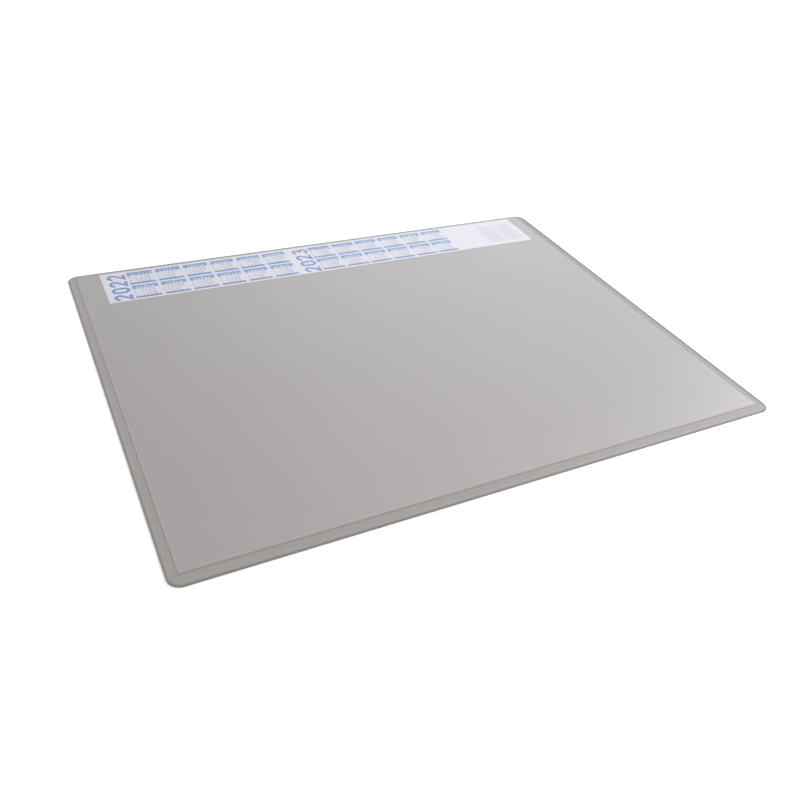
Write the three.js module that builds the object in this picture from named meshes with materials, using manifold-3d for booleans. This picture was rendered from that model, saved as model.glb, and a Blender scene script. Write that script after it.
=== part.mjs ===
// Desk mat with a clear cover film and a two-year calendar strip that lies under the film.
//
// Lengths are in millimetres and +Z is up. The origin is on the desk, under the middle of the mat.
// The long front edge runs along X, and the calendar lies along the back edge, at +Y.

import * as THREE from 'three';
import { mergeVertices } from 'three/addons/utils/BufferGeometryUtils.js';
import Module from 'manifold-3d';

// Mat
const MAT_LENGTH = 650;
const MAT_WIDTH = 500;
const MAT_THICKNESS = 2;
const MAT_CORNER_RADIUS = 12;

// Seam pressed round the edge of the mat, lower than the writing surface, and the shoulder inside it
const SEAM_WIDTH = 2.4;
const SEAM_THICKNESS = 1.5;
const SEAM_EDGE_RADIUS = 0.5;
const SHOULDER_RUN = 0.8;
const FOOT_RADIUS = 0.3;

// Clear film: the bare border of the mat left at three sides, and the weld along the back shoulder
const FILM_THICKNESS = 0.3;
const FILM_LEFT_BORDER = 9.9;
const FILM_RIGHT_BORDER = 10.3;
const FILM_FRONT_BORDER = 12.4;
const FILM_CORNER_RADIUS = 2;
const FILM_TO_SHOULDER = 0.2;
const WELD_WIDTH = 2;

// The film falls from the strip to the mat over these runs
const DRAPE_RUN = 3;
const BACK_DRAPE_RUN = 0.7;

// Calendar strip: its margins are measured from the cut sides of the film
const STRIP_WIDTH = 68.7;
const STRIP_THICKNESS = 0.2;
const STRIP_LEFT_MARGIN = 26;
const STRIP_RIGHT_MARGIN = 19.1;

// Air between sheets that lie on each other, and round the strip in its pocket
const SHEET_GAP = 0.02;
const STRIP_PLAY = 0.1;

// Print on the strip: two years side by side, each with room for its figures and two rows of months
const PRINT_HEIGHT = 0.04;
const PRINT_ROOT = 0.06;
const PRINT_LEFT_MARGIN = 30.4;
const PRINT_RIGHT_MARGIN = 119.65;
const PRINT_BACK_MARGIN = 4;
const PRINT_FRONT_MARGIN = 3.2;
const YEARS = 2;
const YEAR_GAP = 33.75;
const MONTHS_IN_ROW = 6;
const MONTH_GAP = 4.15;
const MONTH_ROWS = 2;
const ROW_GAP = 3.8;
const MONTH_HEAD_HEIGHT = 7.8;
const MONTH_FOOT_HEIGHT = 3.7;

// How finely curves are cut
const CORNER_STEPS = 10;
const ROUND_STEPS = 3;
const SHOULDER_STEPS = 6;
const DRAPE_STEPS = 4;

const MAT_COLOUR = '#a9a7a4';
const FILM_COLOUR = '#e9ebec';
const PAPER_COLOUR = '#ece9ef';
const PRINT_COLOUR = '#7d9fcf';

// Heights
const matTop = MAT_THICKNESS;
const stripBottom = matTop + SHEET_GAP;
const stripTop = stripBottom + STRIP_THICKNESS;
const printTop = stripTop + PRINT_HEIGHT;
const filmOnMat = matTop + SHEET_GAP;
const filmOnStrip = printTop + SHEET_GAP;

// Sides of the film
const film = {
  left: -MAT_LENGTH / 2 + FILM_LEFT_BORDER,
  right: MAT_LENGTH / 2 - FILM_RIGHT_BORDER,
  front: -MAT_WIDTH / 2 + FILM_FRONT_BORDER,
  back: MAT_WIDTH / 2 - SEAM_WIDTH - SHOULDER_RUN - FILM_TO_SHOULDER,
};

// Sides of the strip: its back edge lies where the film comes up from the weld
const stripBack = film.back - WELD_WIDTH - BACK_DRAPE_RUN - STRIP_PLAY;
const strip = {
  left: film.left + STRIP_LEFT_MARGIN,
  right: film.right - STRIP_RIGHT_MARGIN,
  front: stripBack - STRIP_WIDTH,
  back: stripBack,
};

const wasm = await Module();
wasm.setup();

// Solids in and out of the library that joins and cuts them
function solidOf(geometry) {
  const shell = new THREE.BufferGeometry();
  shell.setAttribute('position', geometry.getAttribute('position').clone());
  shell.setIndex(geometry.index);
  const merged = mergeVertices(shell);
  return new wasm.Manifold(new wasm.Mesh({
    numProp: 3,
    vertProperties: merged.getAttribute('position').array,
    triVerts: new Uint32Array(merged.index.array),
  }));
}

function geometryOf(solid) {
  const { vertProperties, triVerts } = solid.getMesh();
  return indexedGeometry(Array.from(vertProperties), Array.from(triVerts));
}

function indexedGeometry(positions, triangles) {
  const geometry = new THREE.BufferGeometry();
  geometry.setAttribute('position', new THREE.Float32BufferAttribute(positions, 3));
  geometry.setIndex(triangles);
  geometry.computeVertexNormals();
  return geometry;
}

// Points of a rectangle with round corners, counterclockwise, moved in from its outline by inset
function roundedRectangle(length, width, radius, inset) {
  const points = [];
  const corners = [[1, 1, 0], [-1, 1, 1], [-1, -1, 2], [1, -1, 3]];
  for (const [alongX, alongY, quarter] of corners) {
    for (let step = 0; step <= CORNER_STEPS; step += 1) {
      const angle = (quarter + step / CORNER_STEPS) * Math.PI / 2;
      points.push([
        alongX * (length / 2 - radius) + (radius - inset) * Math.cos(angle),
        alongY * (width / 2 - radius) + (radius - inset) * Math.sin(angle),
      ]);
    }
  }
  return points;
}

// The edge of the mat in section, from the desk up and inwards: [inset from the outline, height]
function matEdgeProfile() {
  const profile = [];
  const addRound = (radius, middleHeight, fromAngle) => {
    for (let step = 0; step <= ROUND_STEPS; step += 1) {
      const angle = fromAngle + step / ROUND_STEPS * Math.PI / 2;
      profile.push([radius - radius * Math.cos(angle), middleHeight + radius * Math.sin(angle)]);
    }
  };
  addRound(FOOT_RADIUS, FOOT_RADIUS, -Math.PI / 2);
  addRound(SEAM_EDGE_RADIUS, SEAM_THICKNESS - SEAM_EDGE_RADIUS, 0);

  const rise = MAT_THICKNESS - SEAM_THICKNESS;
  for (let step = 0; step <= SHOULDER_STEPS; step += 1) {
    const along = step / SHOULDER_STEPS;
    profile.push([
      SEAM_WIDTH + SHOULDER_RUN * along,
      SEAM_THICKNESS + rise * (1 - Math.cos(Math.PI * along)) / 2,
    ]);
  }
  return profile;
}

// A slab whose edge follows a profile all the way round a rectangle with round corners
function profiledSlab(length, width, radius, profile) {
  const positions = [];
  const triangles = [];
  const rings = profile.map(([inset]) => roundedRectangle(length, width, radius, inset));
  const count = rings[0].length;
  rings.forEach((ring, level) => {
    ring.forEach(([x, y]) => positions.push(x, y, profile[level][1]));
  });
  for (let level = 0; level + 1 < rings.length; level += 1) {
    for (let i = 0; i < count; i += 1) {
      const a = level * count + i;
      const b = level * count + (i + 1) % count;
      triangles.push(a, b, b + count, a, b + count, a + count);
    }
  }
  const top = rings.length - 1;
  const contour = (ring) => ring.map(([x, y]) => new THREE.Vector2(x, y));
  for (const [a, b, c] of THREE.ShapeUtils.triangulateShape(contour(rings[0]), [])) {
    triangles.push(a, c, b);
  }
  for (const [a, b, c] of THREE.ShapeUtils.triangulateShape(contour(rings[top]), [])) {
    triangles.push(top * count + a, top * count + b, top * count + c);
  }
  return indexedGeometry(positions, triangles);
}

// A sheet of even thickness laid over the heights that underside gives
function layeredSheet(xs, ys, underside, thickness) {
  const positions = [];
  const triangles = [];
  for (const lift of [0, thickness]) {
    for (const y of ys) {
      for (const x of xs) positions.push(x, y, underside(x, y) + lift);
    }
  }
  const columns = xs.length;
  const rows = ys.length;
  const upper = columns * rows;
  const quad = (a, b, c, d) => triangles.push(a, b, c, a, c, d);
  for (let row = 0; row + 1 < rows; row += 1) {
    for (let column = 0; column + 1 < columns; column += 1) {
      const a = row * columns + column;
      quad(a, a + columns, a + columns + 1, a + 1);
      quad(upper + a, upper + a + 1, upper + a + columns + 1, upper + a + columns);
    }
  }
  for (let column = 0; column + 1 < columns; column += 1) {
    const last = (rows - 1) * columns + column;
    quad(column, column + 1, upper + column + 1, upper + column);
    quad(last + 1, last, upper + last, upper + last + 1);
  }
  for (let row = 0; row + 1 < rows; row += 1) {
    const first = row * columns;
    const last = first + columns - 1;
    quad(first + columns, first, upper + first, upper + first + columns);
    quad(last, last + columns, upper + last + columns, upper + last);
  }
  return indexedGeometry(positions, triangles);
}

// An upright prism on a rectangle whose two front corners are rounded
function frontRoundedPrism({ left, right, front, back }, radius, low, high) {
  const outline = new THREE.Shape();
  outline.moveTo(left, back);
  outline.lineTo(left, front + radius);
  outline.absarc(left + radius, front + radius, radius, Math.PI, Math.PI * 1.5, false);
  outline.lineTo(right - radius, front);
  outline.absarc(right - radius, front + radius, radius, -Math.PI / 2, 0, false);
  outline.lineTo(right, back);
  const prism = new THREE.ExtrudeGeometry(outline, {
    depth: high - low,
    bevelEnabled: false,
    curveSegments: CORNER_STEPS,
  });
  return prism.translate(0, 0, low);
}

function block(left, right, front, back, low, high) {
  const box = new THREE.BoxGeometry(right - left, back - front, high - low);
  return box.translate((left + right) / 2, (front + back) / 2, (low + high) / 2);
}

// 0 below from, 1 above to, and a smooth rise between them
function smoothRise(value, from, to) {
  return THREE.MathUtils.smoothstep((value - from) / (to - from), 0, 1);
}

function stepsBetween(from, to) {
  return Array.from({ length: DRAPE_STEPS + 1 }, (_, i) => from + (to - from) * i / DRAPE_STEPS);
}

// Cover film: flat on the mat, raised over the strip, and down again to its weld at the back
function makeFilm() {
  const high = {
    left: strip.left - STRIP_PLAY,
    right: strip.right + STRIP_PLAY,
    front: strip.front - STRIP_PLAY,
    back: strip.back + STRIP_PLAY,
  };
  const low = {
    left: high.left - DRAPE_RUN,
    right: high.right + DRAPE_RUN,
    front: high.front - DRAPE_RUN,
    back: high.back + BACK_DRAPE_RUN,
  };
  const underside = (x, y) => {
    const acrossX = smoothRise(x, low.left, high.left) * smoothRise(-x, -low.right, -high.right);
    const acrossY = smoothRise(y, low.front, high.front) * smoothRise(-y, -low.back, -high.back);
    return filmOnMat + (filmOnStrip - filmOnMat) * acrossX * acrossY;
  };
  const spare = FILM_CORNER_RADIUS;
  const xs = [
    film.left - spare,
    ...stepsBetween(low.left, high.left),
    ...stepsBetween(high.right, low.right),
    film.right + spare,
  ];
  const ys = [
    film.front - spare,
    ...stepsBetween(low.front, high.front),
    ...stepsBetween(high.back, low.back),
    film.back + spare,
  ];
  const sheet = layeredSheet(xs, ys, underside, FILM_THICKNESS);
  const cutter = frontRoundedPrism(film, FILM_CORNER_RADIUS, 0, filmOnStrip + 2 * FILM_THICKNESS);
  return geometryOf(solidOf(sheet).intersect(solidOf(cutter)));
}

// Where each month stands on the strip
function monthPlaces() {
  const printLength = strip.right - strip.left - PRINT_LEFT_MARGIN - PRINT_RIGHT_MARGIN;
  const yearLength = (printLength - (YEARS - 1) * YEAR_GAP) / YEARS;
  const monthLength = (yearLength - (MONTHS_IN_ROW - 1) * MONTH_GAP) / MONTHS_IN_ROW;
  const printWidth = STRIP_WIDTH - PRINT_BACK_MARGIN - PRINT_FRONT_MARGIN;
  const monthHeight = (printWidth - (MONTH_ROWS - 1) * ROW_GAP) / MONTH_ROWS;

  const places = [];
  for (let year = 0; year < YEARS; year += 1) {
    for (let row = 0; row < MONTH_ROWS; row += 1) {
      for (let column = 0; column < MONTHS_IN_ROW; column += 1) {
        const left = strip.left + PRINT_LEFT_MARGIN
          + year * (yearLength + YEAR_GAP) + column * (monthLength + MONTH_GAP);
        const back = strip.back - PRINT_BACK_MARGIN - row * (monthHeight + ROW_GAP);
        places.push({ left, right: left + monthLength, back, front: back - monthHeight });
      }
    }
  }
  return places;
}

// Paper strip with a printed bar at the head and the foot of each month
function makeStrip() {
  const { left, right, front, back } = strip;
  let paper = solidOf(block(left, right, front, back, stripBottom, stripTop));
  const printBar = (place, barFront, barBack) => solidOf(
    block(place.left, place.right, barFront, barBack, stripTop - PRINT_ROOT, printTop),
  );
  for (const place of monthPlaces()) {
    paper = paper.add(printBar(place, place.back - MONTH_HEAD_HEIGHT, place.back));
    paper = paper.add(printBar(place, place.front, place.front + MONTH_FOOT_HEIGHT));
  }
  return paintByHeight(geometryOf(paper), stripTop + PRINT_HEIGHT / 2, PAPER_COLOUR, PRINT_COLOUR);
}

// Colours each corner of a mesh by whether it lies below or above a height
function paintByHeight(geometry, height, lowColour, highColour) {
  const place = geometry.getAttribute('position');
  const low = new THREE.Color(lowColour);
  const high = new THREE.Color(highColour);
  const colours = [];
  for (let i = 0; i < place.count; i += 1) {
    const colour = place.getZ(i) > height ? high : low;
    colours.push(colour.r, colour.g, colour.b);
  }
  geometry.setAttribute('color', new THREE.Float32BufferAttribute(colours, 3));
  return geometry;
}

function makeMat() {
  return profiledSlab(MAT_LENGTH, MAT_WIDTH, MAT_CORNER_RADIUS, matEdgeProfile());
}

function namedMesh(name, geometry, look) {
  const mesh = new THREE.Mesh(geometry, new THREE.MeshStandardMaterial(look));
  mesh.name = name;
  return mesh;
}

const deskMat = new THREE.Group();
deskMat.add(
  namedMesh('base_mat', makeMat(), { color: MAT_COLOUR, roughness: 0.5, metalness: 0 }),
  namedMesh('calendar_strip', makeStrip(), { vertexColors: true, roughness: 0.8, metalness: 0 }),
  namedMesh('clear_overlay', makeFilm(), {
    color: FILM_COLOUR,
    roughness: 0.25,
    metalness: 0,
    transparent: true,
    opacity: 0.2,
  }),
);

export default deskMat;
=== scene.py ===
"""Looks of a desk mat with a clear cover film and a two-year calendar strip under the film.

Lengths are in metres. +X runs along the long front edge, +Y towards the calendar, +Z up.
"""

import datetime
import math
import random

import bpy
from mathutils import Matrix, Vector


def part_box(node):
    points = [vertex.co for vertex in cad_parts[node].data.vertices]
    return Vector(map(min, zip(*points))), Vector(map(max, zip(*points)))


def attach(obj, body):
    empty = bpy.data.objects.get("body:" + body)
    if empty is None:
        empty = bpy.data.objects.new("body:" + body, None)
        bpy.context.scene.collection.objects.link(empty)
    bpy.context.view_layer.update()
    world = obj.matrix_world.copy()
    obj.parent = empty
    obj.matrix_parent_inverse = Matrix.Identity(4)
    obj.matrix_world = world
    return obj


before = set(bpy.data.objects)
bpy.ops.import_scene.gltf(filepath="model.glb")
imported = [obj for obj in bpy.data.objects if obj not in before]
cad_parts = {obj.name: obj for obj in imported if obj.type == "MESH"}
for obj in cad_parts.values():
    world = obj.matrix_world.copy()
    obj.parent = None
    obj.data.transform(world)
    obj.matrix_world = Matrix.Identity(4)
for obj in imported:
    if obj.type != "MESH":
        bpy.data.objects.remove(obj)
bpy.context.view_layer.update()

MM = 0.001

# Sizes that come from the frame
MAT_LOW, MAT_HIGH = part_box("base_mat")
STRIP_LOW, STRIP_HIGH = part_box("calendar_strip")
FILM_LOW, FILM_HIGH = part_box("clear_overlay")

# Edge of the mat: a pressed seam, and the shoulder up to the writing surface
MAT_CORNER_RADIUS = 12 * MM
SEAM_WIDTH = 2.4 * MM
SHOULDER_RUN = 0.8 * MM

# Heights of the print: ink on the paper, and thinner ink on the printed bars
PRINT_HEIGHT = 0.04 * MM
OVERPRINT_HEIGHT = 0.012 * MM
PRINT_TOP = STRIP_HIGH.z
PAPER_TOP = PRINT_TOP - PRINT_HEIGHT

# Layout of the print, measured from the strip's edges
PRINT_LEFT_MARGIN = 30.4 * MM
PRINT_RIGHT_MARGIN = 119.65 * MM
PRINT_BACK_MARGIN = 4 * MM
PRINT_FRONT_MARGIN = 3.2 * MM
YEARS = (2022, 2023)
YEAR_GAP = 33.75 * MM
MONTHS_IN_ROW = 6
MONTH_GAP = 4.15 * MM
MONTH_ROWS = 2
ROW_GAP = 3.8 * MM
MONTH_HEAD_HEIGHT = 7.8 * MM
MONTH_FOOT_HEIGHT = 3.7 * MM

# Table of a month: the weekdays' column, then a column for each week
WEEKDAY_COLUMN = 1.7 * MM
FIRST_WEEK_COLUMN = 5.8 * MM
WEEK_COLUMN_PITCH = 4.4 * MM
DAY_ROWS = 6
SUNDAY = 6


class Lettering:
    """Size of a kind of figure: height, width, pitch from one to the next, and width of its stroke."""

    def __init__(self, height, width, pitch, stroke, steps):
        self.height = height * MM
        self.width = width * MM
        self.pitch = pitch * MM
        self.stroke = stroke * MM
        self.steps = steps

    def run(self, text):
        return self.pitch * (len(text) - 1) + self.width


YEAR_FIGURES = Lettering(21.0, 12.7, 16.0, 3.6, 20)
YEAR_FIGURES_TO_MONTHS = 2.7 * MM
YEAR_FIGURES_FROM_FRONT = 2.6 * MM
MONTH_FIGURES = Lettering(2.4, 1.4, 1.9, 0.36, 6)
MONTH_FIGURES_FROM_BACK = 0.9 * MM
WEEK_FIGURES = Lettering(4.0, 1.4, 1.6, 0.62, 6)
WEEK_FIGURES_FROM_FRONT = 0.15 * MM
DAY_FIGURES = Lettering(2.0, 1.1, 1.4, 0.3, 5)
SUNDAY_FIGURES = Lettering(2.3, 1.25, 1.65, 0.4, 5)

# Rows of faint dashes at the strip's right end, as distances from its right and back edges
DASH_COLUMNS = ((61 * MM, 38 * MM), (32 * MM, 7 * MM))
FIRST_DASH_ROW = 14 * MM
DASH_ROWS = 14
DASH_ROW_PITCH = 3.4 * MM
DASH_LENGTHS = (1.6 * MM, 4.6 * MM)
DASH_GAP = 1.3 * MM
DASH_WIDTH = 1.0 * MM
DASH_SEED = 5

# Strokes: points nearer than this are one, and least cosine that a corner's mitre is stretched by
SAME_POINT = 1e-7
SHARPEST_MITRE = 0.45

# Colours as they look in plain light
PLASTIC_LOW = "#a59f9c"
PLASTIC_HIGH = "#aaa4a1"
SEAM_COLOUR = "#918d8a"
# Painted shade: the seam's dark line is darker along the mat's right side
SEAM_RIGHT_SHADE_COLOUR = "#74716f"
# Painted light: the shoulder is lightened to even out the shade on its slope
SHOULDER_LIGHTENED_COLOUR = "#b8b3af"
UNDERSIDE_COLOUR = "#8b8885"
PAPER_LOW = "#e5e2e8"
PAPER_HIGH = "#eae7ed"
PAPER_TINT = "#c3d9f4"
YEAR_INK = "#4c80c0"
BAR_INK = "#6a91c8"
FOOT_INK = "#5c82b9"
DARK_BLUE_INK = "#2c4672"
GREY_INK = "#706c70"
PALE_INK = "#f4f6fb"
DASH_INK = "#98989f"
FILM_VEIL_COLOUR = "#f0f1f6"
FILM_EDGE_COLOUR = "#b9b7b8"
WHITE = (1.0, 1.0, 1.0, 1.0)

# Film: the part of the light that it scatters, how strongly it shines head on and aslant, the
# colour that it lets through, and a painted highlight along its cut edges, made by mixing in more veil
FILM_VEIL = 0.02
FILM_HEAD_ON_SHINE = 0.065
FILM_SHINE_POWER = 5.0
FILM_FACING_BLEND = 0.5
FILM_ROUGHNESS = 0.25
FILM_CLEARNESS = (0.997, 0.9935, 1.0, 1.0)
# Painted highlight along the film's cut edges: its width and how much more veil it mixes in
FILM_RIM_WIDTH = 2.8 * MM
FILM_RIM_HIGHLIGHT = 0.045
FILM_EDGE_ROUGHNESS = 0.4

# Noise of each material as its scale, detail and roughness
PLASTIC_CLOUDS = (9, 3)
PLASTIC_GRAIN = (900, 2, 0.6)
PAPER_FIBRES = (700, 3)
INK_FIBRES = (900, 3)
FILM_WAVES = (14, 2)

# Bump of each material as its strength and depth
PLASTIC_BUMP = (0.2, 0.03 * MM)
PAPER_BUMP = (0.15, 0.02 * MM)
FILM_BUMP = (0.2, 0.4 * MM)

# Range of the noise that counts, and the range of roughness that it gives
NOISE_RANGE = (0.2, 0.8)
PLASTIC_ROUGHNESS = (0.46, 0.56)
PAPER_ROUGHNESS = (0.62, 0.72)
INK_ROUGHNESS = (0.55, 0.7)

# How much lighter the ink is where it is thin
INK_THIN_GAIN = 1.1

# Upward part of the normal where the mat's underside begins, and where the film's cut edge does
UNDERSIDE_TURN = (-0.6, -0.9)
FILM_EDGE_TURN = (0.6, 0.3)

# Height on the print, as shares of it, where paper turns to ink, and reach of the foot bar's ink
INK_RISE = (0.4, 0.8)
FOOT_INK_REACH = 1.0 * MM

# Painted shadow of the film's cut edges: a soft darkening of the bare border beside them
EDGE_SHADE_START = (-0.4 * MM, 0.1 * MM)
EDGE_SHADE_RUN = 3.6 * MM
EDGE_SHADE_FRONT = 0.13
EDGE_SHADE_SIDES = 0.07
EDGE_SHADE_COLOUR = (0, 0, 0, 1)

# The seam's dark line: its soft inner side, and how much wider it is along the mat's right side,
# but for the corners; that widening and the darker colour there are painted shade. The shoulder beside
# it is paler, as painted light, and ends softly.
SEAM_FADE = 0.6 * MM
SEAM_RIGHT_SHADE_EXTRA = 2.4 * MM
SEAM_RIGHT_FROM_CORNERS = 14 * MM
SHOULDER_FADE = SHOULDER_RUN / 2

# A pale line in the shoulder's painted-light tone, which parts the right side's painted shade in two,
# as distances from the mat's edge
PALE_LINE = (1.9 * MM, 2.7 * MM)
PALE_LINE_AMOUNT = 0.6

# Faint blue tint of the paper: all over the months, and more between their two rows
TINT_MONTHS = 0.14
TINT_BETWEEN_ROWS = 0.5
TINT_FADE = 1.5 * MM

SMOOTH_BELOW = math.radians(35)


# Small helpers

def linear(code):
    """A hex colour as linear RGBA."""
    parts = [int(code[i:i + 2], 16) / 255 for i in (1, 3, 5)]
    return tuple(c / 12.92 if c <= 0.04045 else ((c + 0.055) / 1.055) ** 2.4 for c in parts) + (1.0,)


class Nodes:
    """A material's node tree with short ways to add and join nodes."""

    def __init__(self, owner):
        owner.use_nodes = True
        self.owner = owner
        self.tree = owner.node_tree
        self.tree.nodes.clear()

    def set(self, socket, value):
        """Gives a socket a value, or joins it to another socket."""
        if isinstance(value, bpy.types.NodeSocket):
            self.tree.links.new(value, socket)
        else:
            socket.default_value = value

    def add(self, kind, inputs=None, **settings):
        """A new node. inputs maps a socket's name or index to a value or to another socket."""
        node = self.tree.nodes.new(kind)
        for key, value in settings.items():
            setattr(node, key, value)
        for key, value in (inputs or {}).items():
            self.set(node.inputs[key], value)
        return node

    def math(self, operation, a, b=0.0):
        return self.add("ShaderNodeMath", {0: a, 1: b}, operation=operation).outputs[0]

    def vector(self, operation, a, b=(0, 0, 0), output="Vector"):
        return self.add("ShaderNodeVectorMath", {0: a, 1: b}, operation=operation).outputs[output]

    def ramp(self, value, start, end, low=0.0, high=1.0):
        """A smooth step from low to high as value goes from start to end."""
        inputs = {"Value": value, "From Min": start, "From Max": end, "To Min": low, "To Max": high}
        return self.add("ShaderNodeMapRange", inputs, interpolation_type="SMOOTHSTEP").outputs["Result"]

    def noise(self, place, scale, detail=2.0, roughness=0.5):
        inputs = {"Vector": place, "Scale": scale, "Detail": detail, "Roughness": roughness}
        return self.add("ShaderNodeTexNoise", inputs).outputs["Fac"]

    def mix(self, factor, a, b):
        """A mix of two colours."""
        return self.add("ShaderNodeMix", {0: factor, 6: a, 7: b}, data_type="RGBA").outputs[2]

    def bump(self, height, strength, distance):
        inputs = {"Height": height, "Strength": strength, "Distance": distance}
        return self.add("ShaderNodeBump", inputs).outputs["Normal"]

    def place(self):
        return self.add("ShaderNodeTexCoord").outputs["Object"]

    def split(self, vector):
        return self.add("ShaderNodeSeparateXYZ", {0: vector}).outputs

    def principled(self, **inputs):
        named = {key.replace("_", " "): value for key, value in inputs.items()}
        return self.add("ShaderNodeBsdfPrincipled", named).outputs[0]

    def mix_shader(self, factor, a, b):
        return self.add("ShaderNodeMixShader", {0: factor, 1: a, 2: b}).outputs[0]

    def finish(self, shader, kind="ShaderNodeOutputMaterial"):
        self.add(kind, {"Surface": shader})
        return self.owner


def new_material(name):
    return Nodes(bpy.data.materials.new(name))


# Materials

def inset_from_edge(nodes, place):
    """How far a point lies inside the mat's outline, up to the corner radius."""
    half = (MAT_HIGH - MAT_LOW) / 2
    straight = (half.x - MAT_CORNER_RADIUS, half.y - MAT_CORNER_RADIUS, 0)
    flat = nodes.vector("MULTIPLY", place, (1, 1, 0))
    past = nodes.vector("SUBTRACT", nodes.vector("ABSOLUTE", flat), straight)
    outside = nodes.vector("MAXIMUM", past)
    length = nodes.vector("LENGTH", outside, output="Value")
    return nodes.math("SUBTRACT", MAT_CORNER_RADIUS, length)


def beyond_film(nodes, place):
    """How far a point lies outside the film's two sides, and in front of its front edge."""
    along, across, _ = nodes.split(place)
    middle = (FILM_LOW.x + FILM_HIGH.x) / 2
    half = (FILM_HIGH.x - FILM_LOW.x) / 2
    from_middle = nodes.math("ABSOLUTE", nodes.math("SUBTRACT", along, middle))
    return nodes.math("SUBTRACT", from_middle, half), nodes.math("SUBTRACT", FILM_LOW.y, across)


def shade_beside(nodes, distance, amount):
    """Painted shadow that is strongest at a cut edge, fades outwards and stops at once under the film.
    """
    fade = nodes.ramp(distance, EDGE_SHADE_RUN, 0.0)
    outside = nodes.ramp(distance, *EDGE_SHADE_START, 0.0, amount)
    return nodes.math("MULTIPLY", fade, outside)


def within(nodes, value, low, high, fade):
    """One between low and high, with soft sides outside them."""
    rise = nodes.ramp(value, low - fade, low)
    fall = nodes.ramp(value, high + fade, high)
    return nodes.math("MULTIPLY", rise, fall)


def along_right_side(nodes, place):
    """One beside the mat's right side, fading out before its corners."""
    along, across, _ = nodes.split(place)
    right_side = MAT_HIGH.x - MAT_CORNER_RADIUS
    beside = nodes.ramp(along, right_side - MAT_CORNER_RADIUS, right_side)
    ends = SEAM_RIGHT_FROM_CORNERS
    between = within(nodes, across, MAT_LOW.y + ends, MAT_HIGH.y - ends, ends)
    return nodes.math("MULTIPLY", beside, between)


def with_seam(nodes, place, tone):
    """The mat's tone with the shoulder lightened as painted light, and the seam's dark line, which
    along the right side is widened and darkened as painted shade and parted by a pale line.
    """
    lightened_tone = linear(SHOULDER_LIGHTENED_COLOUR)
    inset = inset_from_edge(nodes, place)
    shoulder_end = SEAM_WIDTH + SHOULDER_RUN
    shoulder = nodes.ramp(inset, shoulder_end + SHOULDER_FADE, shoulder_end)

    # Painted shade widens and darkens the seam's line along the right side, parted by a pale line of
    # the shoulder's painted light
    rightness = along_right_side(nodes, place)
    extra = nodes.math("MULTIPLY", rightness, SEAM_RIGHT_SHADE_EXTRA)
    seam = nodes.ramp(nodes.math("SUBTRACT", inset, extra), SEAM_WIDTH, SEAM_WIDTH - SEAM_FADE)
    line = nodes.math("MULTIPLY", within(nodes, inset, *PALE_LINE, SEAM_FADE), rightness)
    dark = nodes.mix(rightness, linear(SEAM_COLOUR), linear(SEAM_RIGHT_SHADE_COLOUR))
    seam_tone = nodes.mix(nodes.math("MULTIPLY", line, PALE_LINE_AMOUNT), dark, lightened_tone)
    return nodes.mix(seam, nodes.mix(shoulder, tone, lightened_tone), seam_tone)


def mat_material():
    """Soft grey plastic: faint clouding, satin grain, a darker pressed seam with painted shade along
    the right side and a shoulder lightened as painted light, painted shadow beside the film's cut
    edges, and a dull underside.
    """
    nodes = new_material("soft_grey_plastic")
    place = nodes.place()
    clouds = nodes.noise(place, *PLASTIC_CLOUDS)
    grain = nodes.noise(place, *PLASTIC_GRAIN)
    tone = nodes.mix(clouds, linear(PLASTIC_LOW), linear(PLASTIC_HIGH))

    # Painted shadow of the film's cut edges on the bare border
    sides, front = beyond_film(nodes, place)
    shade = nodes.math(
        "MAXIMUM",
        shade_beside(nodes, sides, EDGE_SHADE_SIDES),
        shade_beside(nodes, front, EDGE_SHADE_FRONT),
    )
    top = with_seam(nodes, place, nodes.mix(shade, tone, EDGE_SHADE_COLOUR))

    up = nodes.split(nodes.add("ShaderNodeNewGeometry").outputs["Normal"])["Z"]
    colour = nodes.mix(nodes.ramp(up, *UNDERSIDE_TURN), top, linear(UNDERSIDE_COLOUR))
    return nodes.finish(nodes.principled(
        Base_Color=colour,
        Roughness=nodes.ramp(grain, *NOISE_RANGE, *PLASTIC_ROUGHNESS),
        Normal=nodes.bump(grain, *PLASTIC_BUMP),
    ))


def month_tint(nodes, place):
    """Strength of the paper's blue tint round the months of each year."""
    along, across, _ = nodes.split(place)
    _, month_width = month_size()
    sides = 0.0
    for index in range(len(YEARS)):
        left = year_left(index)
        inside = within(nodes, along, left, left + year_length(), TINT_FADE)
        sides = nodes.math("ADD", inside, sides)
    front = month_back(MONTH_ROWS - 1) - month_width
    months_area = within(nodes, across, front, month_back(0), TINT_FADE)
    between = within(nodes, across, month_back(1), month_back(0) - month_width, TINT_FADE)
    strength = nodes.math(
        "ADD",
        nodes.math("MULTIPLY", months_area, TINT_MONTHS),
        nodes.math("MULTIPLY", between, TINT_BETWEEN_ROWS - TINT_MONTHS),
    )
    return nodes.math("MULTIPLY", sides, strength)


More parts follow.
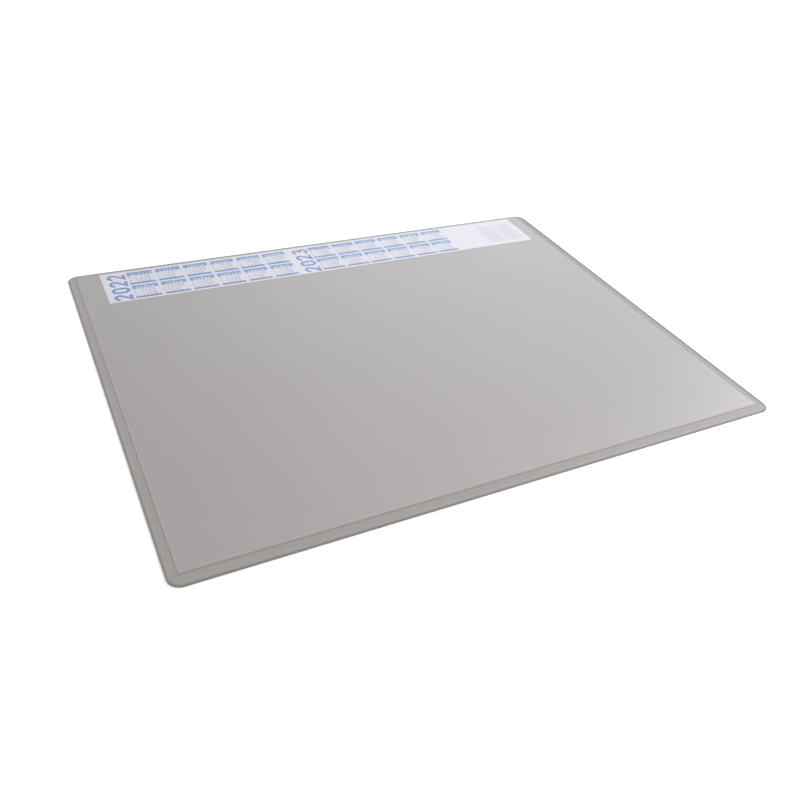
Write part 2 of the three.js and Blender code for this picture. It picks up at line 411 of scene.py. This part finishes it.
def printed_paper_material():
    """White paper with a faint fibre tone, and blue ink on the bars that stand above it."""
    nodes = new_material("printed_paper")
    place = nodes.place()
    _, across, height = nodes.split(place)
    inked = nodes.ramp(height, *(PAPER_TOP + PRINT_HEIGHT * share for share in INK_RISE))

    foot = 0.0
    _, month_width = month_size()
    for row in range(MONTH_ROWS):
        front = month_back(row) - month_width
        above = nodes.math("GREATER_THAN", across, front - ROW_GAP / 2)
        below = nodes.math("LESS_THAN", across, front + MONTH_FOOT_HEIGHT + FOOT_INK_REACH)
        foot = nodes.math("ADD", nodes.math("MULTIPLY", above, below), foot)

    fibres = nodes.noise(place, *PAPER_FIBRES)
    plain = nodes.mix(fibres, linear(PAPER_LOW), linear(PAPER_HIGH))
    paper = nodes.mix(month_tint(nodes, place), plain, linear(PAPER_TINT))
    ink = nodes.mix(foot, linear(BAR_INK), linear(FOOT_INK))
    return nodes.finish(nodes.principled(
        Base_Color=nodes.mix(inked, paper, ink),
        Roughness=nodes.ramp(fibres, *NOISE_RANGE, *PAPER_ROUGHNESS),
        Normal=nodes.bump(fibres, *PAPER_BUMP),
    ))


def ink_material(name, code):
    """Flat printing ink with the paper's fibre showing faintly through it."""
    nodes = new_material(name)
    fibres = nodes.noise(nodes.place(), *INK_FIBRES)
    full = linear(code)
    thin = tuple(min(1.0, c * INK_THIN_GAIN) for c in full[:3]) + (1.0,)
    return nodes.finish(nodes.principled(
        Base_Color=nodes.mix(fibres, full, thin),
        Roughness=nodes.ramp(fibres, *NOISE_RANGE, *INK_ROUGHNESS),
    ))


def film_material():
    """Clear film: a faint veil, soft shine that grows aslant, and a painted highlight along its cut
    edges.
    """
    nodes = new_material("clear_film")
    place = nodes.place()
    facing = nodes.add("ShaderNodeLayerWeight", {"Blend": FILM_FACING_BLEND}).outputs["Facing"]
    steep = nodes.math("POWER", facing, FILM_SHINE_POWER)
    aslant = nodes.math("MULTIPLY", steep, 1 - FILM_HEAD_ON_SHINE)
    shine = nodes.math("ADD", aslant, FILM_HEAD_ON_SHINE)

    sides, front = beyond_film(nodes, place)
    # Painted highlight: more veil in a band just inside the cut edges
    rim = nodes.ramp(nodes.math("MAXIMUM", sides, front), -FILM_RIM_WIDTH, -FILM_RIM_WIDTH / 2)
    veil = nodes.math("ADD", nodes.math("MULTIPLY", rim, FILM_RIM_HIGHLIGHT), FILM_VEIL)

    clear = nodes.add("ShaderNodeBsdfTransparent", {"Color": FILM_CLEARNESS}).outputs[0]
    milky = nodes.add("ShaderNodeBsdfDiffuse", {"Color": linear(FILM_VEIL_COLOUR)}).outputs[0]
    waves = nodes.bump(nodes.noise(place, *FILM_WAVES), *FILM_BUMP)
    gloss = nodes.add("ShaderNodeBsdfGlossy", {
        "Color": WHITE,
        "Roughness": FILM_ROUGHNESS,
        "Normal": waves,
    }).outputs[0]
    sheet = nodes.mix_shader(shine, nodes.mix_shader(veil, clear, milky), gloss)

    edge_look = nodes.principled(
        Base_Color=linear(FILM_EDGE_COLOUR),
        Roughness=FILM_EDGE_ROUGHNESS,
    )
    up = nodes.split(nodes.add("ShaderNodeNewGeometry").outputs["True Normal"])["Z"]
    edge = nodes.ramp(nodes.math("ABSOLUTE", up), *FILM_EDGE_TURN)
    return nodes.finish(nodes.mix_shader(edge, sheet, edge_look))


# Figures

def arc(centre, radii, start, end, steps):
    """Points on an ellipse from one angle to another, in degrees."""
    points = []
    for i in range(steps + 1):
        angle = math.radians(start + (end - start) * i / steps)
        points.append((centre[0] + radii[0] * math.cos(angle), centre[1] + radii[1] * math.sin(angle)))
    return points


def figure_strokes(figure, width, height, steps):
    """Centre lines of a figure from 0 to 9 in a box of that size, each as (points, closed).

    The numbers that a width or height is multiplied by are shares of the box.
    """
    middle = width / 2
    bowl = height * 0.29
    if figure == 0:
        top = arc((middle, height - middle), (middle, middle), 0, 180, steps)
        bottom = arc((middle, middle), (middle, middle), 180, 360, steps)
        return [(top + bottom, True)]
    if figure == 1:
        return [([(width * 0.12, height * 0.78), (width * 0.62, height), (width * 0.62, 0)], False)]
    if figure == 2:
        top = arc((middle, height - middle), (middle, middle), 175, -25, steps)
        return [(top + [(0, 0), (width, 0)], False)]
    if figure == 3:
        upper = arc((middle, height * 0.75), (middle * 0.92, height * 0.25), 160, -80, steps)
        lower = arc((middle, height * 0.25), (middle, height * 0.25), 80, -160, steps)
        return [(upper + lower, False)]
    if figure == 4:
        stem = [(width * 0.72, 0), (width * 0.72, height)]
        return [(stem + [(0, height * 0.3), (width, height * 0.3)], False)]
    if figure == 5:
        upper = [(width * 0.9, height), (width * 0.14, height), (width * 0.06, height * 0.5)]
        return [(upper + arc((middle, bowl), (middle, bowl), 120, -150, steps), False)]
    if figure == 6:
        stem = arc((width * 0.95, bowl), (width * 0.95, height - bowl), 95, 180, steps)
        return [(stem + arc((middle, bowl), (middle, bowl), 180, -180, steps), False)]
    if figure == 7:
        return [([(0, height), (width, height), (width * 0.32, 0)], False)]
    if figure == 8:
        upper = arc((middle, height * 0.76), (middle * 0.86, height * 0.24), 0, 360, steps * 2)[:-1]
        lower = arc((middle, height * 0.26), (middle, height * 0.26), 0, 360, steps * 2)[:-1]
        return [(upper, True), (lower, True)]
    turned = figure_strokes(6, width, height, steps)
    return [([(width - x, height - y) for x, y in points], closed) for points, closed in turned]


class PrintSheet:
    """Flat printed shapes as thin closed solids between two heights, gathered into one piece."""

    def __init__(self, low, high):
        self.low = low
        self.high = high
        self.points = []
        self.faces = []

    def ribbon(self, line, width, closed=False):
        """A stroke of even width along a line of points, with square ends."""
        line = [Vector(p) for p in line]
        line = [p for i, p in enumerate(line) if i == 0 or (p - line[i - 1]).length > SAME_POINT]
        count = len(line)
        base = len(self.points)
        for i, point in enumerate(line):
            before = line[i - 1] if closed or i > 0 else None
            after = line[(i + 1) % count] if closed or i + 1 < count else None
            into = (point - before).normalized() if before is not None else (after - point).normalized()
            out = (after - point).normalized() if after is not None else into
            along = (into + out).normalized()
            side = Vector((-along.y, along.x))
            stretch = 1 / max(side.dot(Vector((-into.y, into.x))), SHARPEST_MITRE)
            for sign in (1, -1):
                place = point + side * (sign * stretch * width / 2)
                self.points += [(place.x, place.y, self.low), (place.x, place.y, self.high)]
        for i in range(count if closed else count - 1):
            here = base + 4 * i
            there = base + 4 * ((i + 1) % count)
            self.faces += [
                (here + 1, here + 3, there + 3, there + 1),
                (here, there, there + 2, here + 2),
                (here, here + 1, there + 1, there),
                (here + 2, there + 2, there + 3, here + 3),
            ]
        if not closed:
            end = base + 4 * (count - 1)
            self.faces.append((base, base + 2, base + 3, base + 1))
            self.faces.append((end, end + 1, end + 3, end + 2))

    def number(self, text, start, lettering, up=(0, 1)):
        """Figures in a row from start, the lower left corner of the first."""
        up = Vector(up)
        right = Vector((up.y, -up.x))
        stroke = lettering.stroke
        size = (lettering.width - stroke, lettering.height - stroke)
        for index, figure in enumerate(text):
            corner = Vector(start) + right * (index * lettering.pitch + stroke / 2) + up * (stroke / 2)
            for points, closed in figure_strokes(int(figure), *size, lettering.steps):
                self.ribbon([corner + right * x + up * y for x, y in points], stroke, closed)

    def centred(self, value, middle, lettering):
        """A number with its middle at that place."""
        text = str(value)
        start = (middle[0] - lettering.run(text) / 2, middle[1] - lettering.height / 2)
        self.number(text, start, lettering)

    def make_piece(self, name, material, slot):
        """A piece of these shapes, which rides on the mat's body."""
        mesh = bpy.data.meshes.new(name)
        mesh.from_pydata(self.points, [], self.faces)
        mesh.materials.append(material)
        made = bpy.data.objects.new(name, mesh)
        bpy.context.scene.collection.objects.link(made)
        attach(made, "root")


def on_paper():
    """An empty sheet for print that stands on the paper."""
    return PrintSheet(PAPER_TOP, PRINT_TOP)


def on_bars():
    """An empty sheet for print that stands on the printed bars."""
    return PrintSheet(PRINT_TOP, PRINT_TOP + OVERPRINT_HEIGHT)


# Calendar

def year_length():
    """Length of the months of one year."""
    print_length = STRIP_HIGH.x - STRIP_LOW.x - PRINT_LEFT_MARGIN - PRINT_RIGHT_MARGIN
    return (print_length - (len(YEARS) - 1) * YEAR_GAP) / len(YEARS)


def year_left(index):
    """Left side of the months of a year."""
    return STRIP_LOW.x + PRINT_LEFT_MARGIN + index * (year_length() + YEAR_GAP)


def month_size():
    """Length and width of one month."""
    length = (year_length() - (MONTHS_IN_ROW - 1) * MONTH_GAP) / MONTHS_IN_ROW
    width = STRIP_HIGH.y - STRIP_LOW.y - PRINT_BACK_MARGIN - PRINT_FRONT_MARGIN
    return length, (width - (MONTH_ROWS - 1) * ROW_GAP) / MONTH_ROWS


def month_back(row):
    """Back side of the months of a row, counted from the back."""
    return STRIP_HIGH.y - PRINT_BACK_MARGIN - row * (month_size()[1] + ROW_GAP)


def months():
    """Each month as (year, month, left, back)."""
    length, _ = month_size()
    for index, year in enumerate(YEARS):
        for month in range(1, 13):
            row, column = divmod(month - 1, MONTHS_IN_ROW)
            yield year, month, year_left(index) + column * (length + MONTH_GAP), month_back(row)


def days_of(year, month):
    """Each day of a month as (day, weekday from 0, column of its week, week of the year)."""
    first = datetime.date(year, month, 1)
    day = first
    while day.month == month:
        column = (day.day - 1 + first.weekday()) // 7
        yield day.day, day.weekday(), column, day.isocalendar()[1]
        day += datetime.timedelta(days=1)


def day_row(back, weekday):
    """Height on the page of a weekday's row. Sundays stand on the bar at the month's foot."""
    _, width = month_size()
    if weekday == SUNDAY:
        return back - width + MONTH_FOOT_HEIGHT / 2
    body = width - MONTH_HEAD_HEIGHT - MONTH_FOOT_HEIGHT
    return back - MONTH_HEAD_HEIGHT - body * (weekday + 0.5) / DAY_ROWS


def week_column(left, column):
    """Middle of a week's column in the month that begins at left."""
    return left + FIRST_WEEK_COLUMN + column * WEEK_COLUMN_PITCH


def print_year_figures():
    """Large figures of each year, which read from the front edge to the back."""
    sheet = on_paper()
    for index, year in enumerate(YEARS):
        foot = year_left(index) - YEAR_FIGURES_TO_MONTHS
        front = STRIP_LOW.y + YEAR_FIGURES_FROM_FRONT
        sheet.number(str(year), (foot, front), YEAR_FIGURES, up=(-1, 0))
    sheet.make_piece("print_year_figures", ink_material("year_ink", YEAR_INK), "print_blue")


def print_head_figures():
    """Light figures on the bar at the head of each month: the month, and below it the weeks."""
    sheet = on_bars()
    length, _ = month_size()
    for year, month, left, back in months():
        middle = back - MONTH_FIGURES_FROM_BACK - MONTH_FIGURES.height / 2
        sheet.centred(month, (left + length / 2, middle), MONTH_FIGURES)
        row = back - MONTH_HEAD_HEIGHT + WEEK_FIGURES_FROM_FRONT + WEEK_FIGURES.height / 2
        for column, week in sorted({(c, w) for _, _, c, w in days_of(year, month)}):
            sheet.centred(week, (week_column(left, column), row), WEEK_FIGURES)
    sheet.make_piece("print_head_figures", ink_material("pale_ink", PALE_INK), "printed_paper")


def print_day_figures():
    """Small figures of every day but Sundays, and 1 to 6 down the left for the weekdays."""
    sheet = on_paper()
    for year, month, left, back in months():
        for weekday in range(DAY_ROWS):
            sheet.centred(weekday + 1, (left + WEEKDAY_COLUMN, day_row(back, weekday)), DAY_FIGURES)
        for day, weekday, column, _ in days_of(year, month):
            if weekday != SUNDAY:
                sheet.centred(day, (week_column(left, column), day_row(back, weekday)), DAY_FIGURES)
    sheet.make_piece("print_day_figures", ink_material("grey_ink", GREY_INK), "print_grey")


def print_sunday_figures():
    """Dark figures of the Sundays on the bar at the foot of each month."""
    sheet = on_bars()
    for year, month, left, back in months():
        sheet.centred(SUNDAY + 1, (left + WEEKDAY_COLUMN, day_row(back, SUNDAY)), SUNDAY_FIGURES)
        for day, weekday, column, _ in days_of(year, month):
            if weekday == SUNDAY:
                sheet.centred(day, (week_column(left, column), day_row(back, SUNDAY)), SUNDAY_FIGURES)
    ink = ink_material("dark_blue_ink", DARK_BLUE_INK)
    sheet.make_piece("print_sunday_figures", ink, "print_blue")


def print_dashes():
    """Two columns of faint dashes at the right end of the strip."""
    sheet = on_paper()
    dice = random.Random(DASH_SEED)
    for start, end in DASH_COLUMNS:
        for row in range(DASH_ROWS):
            y = STRIP_HIGH.y - FIRST_DASH_ROW - row * DASH_ROW_PITCH
            x = STRIP_HIGH.x - start
            while x < STRIP_HIGH.x - end - DASH_LENGTHS[0]:
                stop = min(x + dice.uniform(*DASH_LENGTHS), STRIP_HIGH.x - end)
                sheet.ribbon([(x, y), (stop, y)], DASH_WIDTH)
                x = stop + DASH_GAP
    sheet.make_piece("print_dashes", ink_material("dash_ink", DASH_INK), "print_grey")


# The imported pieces

def dress_cad_nodes():
    """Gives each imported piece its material, and smooth shading but for its sharp edges."""
    looks = {
        "base_mat": (mat_material(), "soft_grey_plastic"),
        "calendar_strip": (printed_paper_material(), "printed_paper"),
        "clear_overlay": (film_material(), "clear_film"),
    }
    for name, (material, slot) in looks.items():
        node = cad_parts[name]
        node.data.materials.clear()
        node.data.materials.append(material)
        node.data.polygons.foreach_set("use_smooth", [True] * len(node.data.polygons))
        node.data.set_sharp_from_angle(angle=SMOOTH_BELOW)


# Stage, lights and camera

FLOOR_HALF = 8.0
FLOOR_COLOUR = (0.9, 0.9, 0.9, 1.0)
FLOOR_DROP = 0.02 * MM
FLOOR_GLOW_NEAR = 0.34
FLOOR_GLOW_FAR = 0.7
FLOOR_GLOW_FROM = 0.5
FLOOR_GLOW_TO = 2.0
WORLD_LEVEL = 0.33
MAT_MIDDLE = (0, 0, 0)

# The world in a gloss: its levels from left to right, the X parts of the direction between which
# they change, and its colour low down, which fades in between two Z parts of the direction
GLOSS_LEFT = 0.7
GLOSS_MIDDLE = 1.2
GLOSS_RIGHT = 1.0
GLOSS_RISE = (0.0, 0.4)
GLOSS_FALL = (0.5, 0.7)
GLOSS_LOW_COLOUR = (1.04, 1.1, 1.13, 1.0)
GLOSS_LOW_SPAN = (0.62, 0.5)

KEY_PLACE = (1.0, -0.2, 1.1)
KEY_SIZE = (1.2, 1.2)
KEY_POWER = 16.8
KEY_COLOUR = (0.985, 0.995, 1.015)
FILL_PLACE = (-1.0, 0.7, 1.15)
FILL_SIZE = (1.2, 1.2)
FILL_POWER = 7
SHEEN_PLACE = (2.35, 0.65, 1.1)
SHEEN_AIM = (0.3, -0.2, 0)
SHEEN_SIZE = (1.2, 0.9)
SHEEN_POWER = 0.85
SHEEN_COLOUR = (1.0, 0.93, 1.06)
CAMERA_PLACE = (-380.7 * MM, -654.7 * MM, 497.5 * MM)
CAMERA_AIM = (-52.0 * MM, -96.45 * MM, 0)
CAMERA_ROLL = math.radians(6.64)
CAMERA_LENS = 35.64
CAMERA_SENSOR = 36
CAMERA_NEAR = 0.01
CAMERA_FAR = 50


def seen_as_background(nodes):
    """One for the rays that show the surroundings: from the camera, in a gloss or through glass."""
    path = nodes.add("ShaderNodeLightPath").outputs
    either = nodes.math("MAXIMUM", path["Is Camera Ray"], path["Is Glossy Ray"])
    return nodes.math("MAXIMUM", either, path["Is Transmission Ray"])


def make_floor():
    """A white floor. It glows a little to the eye, more so far off, and keeps the mat's shadow."""
    nodes = new_material("floor_white")
    away = nodes.vector("LENGTH", nodes.place(), output="Value")
    glow = nodes.ramp(away, FLOOR_GLOW_FROM, FLOOR_GLOW_TO, FLOOR_GLOW_NEAR, FLOOR_GLOW_FAR)
    diffuse = nodes.add("ShaderNodeBsdfDiffuse", {"Color": FLOOR_COLOUR}).outputs[0]
    light = nodes.add("ShaderNodeEmission", {
        "Color": WHITE,
        "Strength": nodes.math("MULTIPLY", seen_as_background(nodes), glow),
    }).outputs[0]
    material = nodes.finish(nodes.add("ShaderNodeAddShader", {0: diffuse, 1: light}).outputs[0])
    h = FLOOR_HALF
    mesh = bpy.data.meshes.new("floor")
    mesh.from_pydata([(-h, -h, 0), (h, -h, 0), (h, h, 0), (-h, h, 0)], [], [(0, 1, 2, 3)])
    mesh.materials.append(material)
    floor = bpy.data.objects.new("floor", mesh)
    bpy.context.scene.collection.objects.link(floor)
    floor.location.z = MAT_LOW.z - FLOOR_DROP


def make_world():
    """A pale world, white to the camera. A gloss shows it brightest right of the middle."""
    world = bpy.data.worlds.new("studio")
    bpy.context.scene.world = world
    nodes = Nodes(world)
    path = nodes.add("ShaderNodeLightPath").outputs
    direction = nodes.split(nodes.add("ShaderNodeTexCoord").outputs["Generated"])
    rise = nodes.ramp(direction["X"], *GLOSS_RISE, GLOSS_LEFT, GLOSS_MIDDLE)
    fall = nodes.ramp(direction["X"], *GLOSS_FALL, 0.0, GLOSS_MIDDLE - GLOSS_RIGHT)
    gloss = nodes.math("SUBTRACT", rise, fall)
    plain = nodes.ramp(seen_as_background(nodes), 0.0, 1.0, WORLD_LEVEL, 1.0)
    strength = nodes.add("ShaderNodeMix", {0: path["Is Glossy Ray"], 2: plain, 3: gloss}).outputs[0]
    low = nodes.math("MULTIPLY", nodes.ramp(direction["Z"], *GLOSS_LOW_SPAN), path["Is Glossy Ray"])
    colour = nodes.mix(low, WHITE, GLOSS_LOW_COLOUR)
    background = nodes.add("ShaderNodeBackground", {"Color": colour, "Strength": strength}).outputs[0]
    nodes.finish(background, "ShaderNodeOutputWorld")


def add_softbox(name, place, aim, size, power, colour=(1, 1, 1)):
    """A rectangular light that faces a point."""
    lamp = bpy.data.lights.new(name, "AREA")
    lamp.shape = "RECTANGLE"
    lamp.size, lamp.size_y = size
    lamp.energy = power
    lamp.color = colour
    softbox = bpy.data.objects.new(name, lamp)
    bpy.context.scene.collection.objects.link(softbox)
    softbox.location = place
    softbox.rotation_euler = (Vector(aim) - Vector(place)).to_track_quat("-Z", "Y").to_euler()


def make_camera():
    """The photo's camera, a little rolled."""
    data = bpy.data.cameras.new("camera")
    data.lens = CAMERA_LENS
    data.sensor_width = CAMERA_SENSOR
    data.clip_start = CAMERA_NEAR
    data.clip_end = CAMERA_FAR
    camera = bpy.data.objects.new("camera", data)
    bpy.context.scene.collection.objects.link(camera)
    look = (Vector(CAMERA_AIM) - Vector(CAMERA_PLACE)).to_track_quat("-Z", "Y").to_matrix()
    turn = look @ Matrix.Rotation(CAMERA_ROLL, 3, "Z")
    camera.matrix_world = Matrix.Translation(CAMERA_PLACE) @ turn.to_4x4()
    bpy.context.scene.camera = camera


make_camera()
make_world()
make_floor()
add_softbox("key_softbox", KEY_PLACE, MAT_MIDDLE, KEY_SIZE, KEY_POWER, KEY_COLOUR)
add_softbox("fill_softbox", FILL_PLACE, MAT_MIDDLE, FILL_SIZE, FILL_POWER)
add_softbox("sheen_softbox", SHEEN_PLACE, SHEEN_AIM, SHEEN_SIZE, SHEEN_POWER, SHEEN_COLOUR)
dress_cad_nodes()
print_year_figures()
print_head_figures()
print_day_figures()
print_sunday_figures()
print_dashes()

bpy.context.scene.view_settings.view_transform = "Standard"
